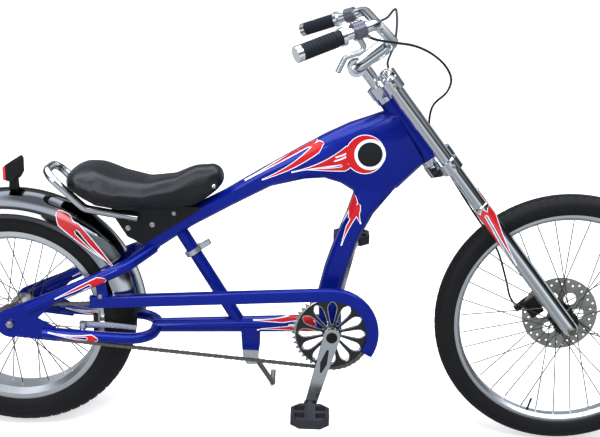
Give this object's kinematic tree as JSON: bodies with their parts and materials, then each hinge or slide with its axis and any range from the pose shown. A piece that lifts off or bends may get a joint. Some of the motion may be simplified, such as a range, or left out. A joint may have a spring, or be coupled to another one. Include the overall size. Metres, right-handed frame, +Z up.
{
  "type": "chopper bicycle",
  "caption": "Chopper bicycle with a pressed spine frame, long raked double-crown fork, fat rear tyre, swept-back handlebar and low saddle, leaning on its side stand.",
  "frame": {"origin": "on the floor under the middle of the bounding box", "axes": "+X forward, +Y to the rider's left, +Z up; the bicycle leans 8 degrees to +Y on its side stand"},
  "size_m": [1.8716, 0.6628, 1.0257],
  "materials": {
    "blue_paint": "deep metallic blue under clear lacquer, with red and white flames",
    "chrome": "bright chrome plate",
    "polished_alloy": "polished silver alloy",
    "steel": "plain bright steel",
    "black_metal": "semi-gloss black",
    "black_vinyl": "smooth black vinyl",
    "black_rubber": "matt black rubber",
    "tyre_rubber": "black tyre rubber",
    "black_plastic": "black moulded plastic",
    "grey_plastic": "dark grey moulded plastic",
    "red_lens": "clear red lens"
  },
  "bodies": {
    "frame": {"backbone": "blue_paint", "head_tube": "blue_paint", "headset_cups": "chrome", "lower_tube": "blue_paint", "seat_strut": "blue_paint", "strut_clamp": "polished_alloy", "seat_stays": "blue_paint", "chain_stays": "blue_paint", "seat_bracket": "black_metal", "saddle": "black_vinyl", "grab_rail": "chrome", "rear_fender": "chrome", "tail_light": "black_plastic", "tail_lens": "red_lens", "rear_axle": "steel", "rear_brake": "polished_alloy", "brake_pads": "black_rubber", "chain_guard": "blue_paint", "chain": "steel", "stand_block": "polished_alloy"},
    "stand": {"kickstand": "steel"},
    "crank": {"cranks": "polished_alloy", "chainring": "steel", "cover_disc": "black_metal"},
    "right_pedal": {"pedal_right": "grey_plastic"},
    "left_pedal": {"pedal_left": "grey_plastic"},
    "steering": {"fork_crowns": "chrome", "fork_legs": "chrome", "stem": "chrome", "handlebar": "chrome", "grips": "black_rubber", "brake_levers": "polished_alloy", "front_caliper": "black_metal", "front_axle": "steel", "brake_cables": "black_rubber"},
    "front_wheel": {"front_tyre": "tyre_rubber", "front_rim": "polished_alloy", "front_hub": "steel", "front_spokes": "steel", "front_rotor": "polished_alloy"},
    "rear_wheel": {"rear_tyre": "tyre_rubber", "rear_rim": "polished_alloy", "rear_hub": "steel", "rear_spokes": "steel"}
  },
  "joints": [
    {"name": "steering_turn", "type": "hinge", "parent": "frame", "child": "steering", "pos_m": [0.24109, -0.02613, 0.73995], "axis": [-0.6252, 0.1086, 0.7728], "range_deg": [-40, 40]},
    {"name": "front_wheel_spin", "type": "hinge", "parent": "steering", "child": "front_wheel", "pos_m": [0.63184, -0.08778, 0.30131], "axis": [0, 0.9903, -0.1392], "continuous": true},
    {"name": "rear_wheel_spin", "type": "hinge", "parent": "frame", "child": "rear_wheel", "pos_m": [-0.65784, -0.09137, 0.27577], "axis": [0, 0.9903, -0.1392], "continuous": true},
    {"name": "crank_spin", "type": "hinge", "parent": "frame", "child": "crank", "pos_m": [0.08416, -0.09192, 0.27181], "axis": [0, 0.9903, -0.1392], "continuous": true},
    {"name": "right_pedal_spin", "type": "hinge", "parent": "crank", "child": "right_pedal", "pos_m": [0.03959, -0.11591, 0.10116], "axis": [0, 0.9903, -0.1392], "continuous": true},
    {"name": "left_pedal_spin", "type": "hinge", "parent": "crank", "child": "left_pedal", "pos_m": [0.12873, -0.06794, 0.44246], "axis": [0, 0.9903, -0.1392], "continuous": true},
    {"name": "stand_swing", "type": "hinge", "parent": "frame", "child": "stand", "pos_m": [-0.10584, -0.07558, 0.17257], "axis": [0, 0.7986, 0.6018], "range_deg": [0, 100]}
  ]
}
